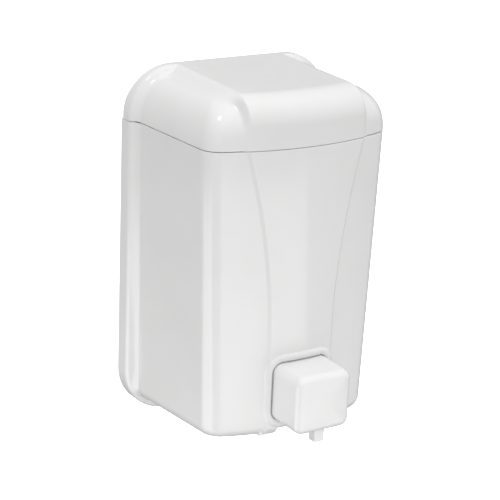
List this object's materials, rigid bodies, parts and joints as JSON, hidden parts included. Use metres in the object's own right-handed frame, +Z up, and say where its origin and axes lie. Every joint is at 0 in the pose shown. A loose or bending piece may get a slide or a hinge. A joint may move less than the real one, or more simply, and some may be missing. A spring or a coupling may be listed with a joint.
{
  "type": "wall mounted soap dispenser",
  "caption": "White wall mounted soap dispenser with a tapered tank, hinged filling lid, square push button, pump and hang-on wall plate.",
  "frame": {"origin": "centre of the four wall screws, on the wall's surface", "axes": "+Y into the wall, -Y out towards the user, +Z up, +X to the right for a user facing the wall"},
  "size_m": [0.0978, 0.0906, 0.1562],
  "materials": {
    "shell_plastic": "glossy moulded ABS, white",
    "button_plastic": "glossy moulded ABS, white",
    "plate_plastic": "fine textured moulded ABS, off-white",
    "pump_plastic": "natural polypropylene, satin",
    "seal_rubber": "black nitrile rubber",
    "spring_steel": "bright drawn stainless steel"
  },
  "bodies": {
    "wall_plate": {"wall_plate": "plate_plastic"},
    "dispenser": {"body": "shell_plastic", "pump_cylinder": "pump_plastic", "gland_cap": "pump_plastic", "stem_seal": "seal_rubber", "pump_gasket": "seal_rubber", "clamp_nut": "pump_plastic", "suction_elbow": "pump_plastic", "inlet_seat": "pump_plastic", "strainer": "pump_plastic", "return_spring": "spring_steel"},
    "lid": {"lid": "shell_plastic", "hinge_pins": "spring_steel"},
    "button": {"push_button": "button_plastic", "valve_housing": "pump_plastic", "spout_tip": "button_plastic", "outlet_spring": "spring_steel", "piston_stem": "pump_plastic", "piston_seal": "seal_rubber"},
    "inlet_ball": {"inlet_ball": "spring_steel"},
    "outlet_ball": {"outlet_ball": "spring_steel"}
  },
  "joints": [
    {"name": "body_lift", "type": "slide", "parent": "wall_plate", "child": "dispenser", "axis": [0, 0, 1], "range_m": [0, 0.009]},
    {"name": "lid_hinge", "type": "hinge", "parent": "dispenser", "child": "lid", "pos_m": [0, -0.0055, 0.0741], "axis": [-1, 0, 0], "range_deg": [0, 85]},
    {"name": "button_push", "type": "slide", "parent": "dispenser", "child": "button", "axis": [0, 1, 0], "range_m": [0, 0.009], "stiffness_N_per_m": 600, "springref_m": -0.008, "deforming": ["return_spring"]},
    {"name": "inlet_ball_lift", "type": "slide", "parent": "dispenser", "child": "inlet_ball", "axis": [0, 0, 1], "range_m": [0, 0.002]},
    {"name": "outlet_ball_drop", "type": "slide", "parent": "button", "child": "outlet_ball", "axis": [0, 0, -1], "range_m": [0, 0.0015], "stiffness_N_per_m": 20, "springref_m": -0.002, "deforming": ["outlet_spring"]}
  ]
}
